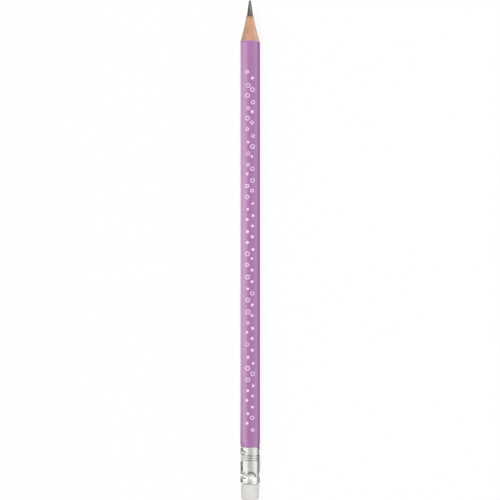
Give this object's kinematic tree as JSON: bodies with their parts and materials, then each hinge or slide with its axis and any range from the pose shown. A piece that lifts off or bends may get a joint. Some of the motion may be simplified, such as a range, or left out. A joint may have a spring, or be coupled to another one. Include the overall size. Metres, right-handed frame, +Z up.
{
  "type": "pencil",
  "caption": "Sharpened wooden pencil with a softly triangular lacquered barrel, a crimped metal ferrule and a rubber eraser, for writing and rubbing out.",
  "frame": {"origin": "on the table under the middle of the pencil, which lies on one face of its barrel", "axes": "+X along the pencil towards the point, +Y across it, +Z up from the table"},
  "size_m": [0.19, 0.0074, 0.0076],
  "materials": {
    "graphite": "dark grey graphite with a soft sheen",
    "wood": "bare pinkish tan wood, cut smooth along the grain",
    "lacquer": "glossy lilac lacquer",
    "ferrule_metal": "bright drawn aluminium with rolled rings and crimps",
    "eraser_rubber": "matt off-white rubber"
  },
  "bodies": {
    "root": {"graphite_lead": "graphite", "base_slat": "wood", "cap_slat": "wood", "lacquer_coat": "lacquer", "ferrule": "ferrule_metal", "eraser": "eraser_rubber"}
  },
  "joints": []
}
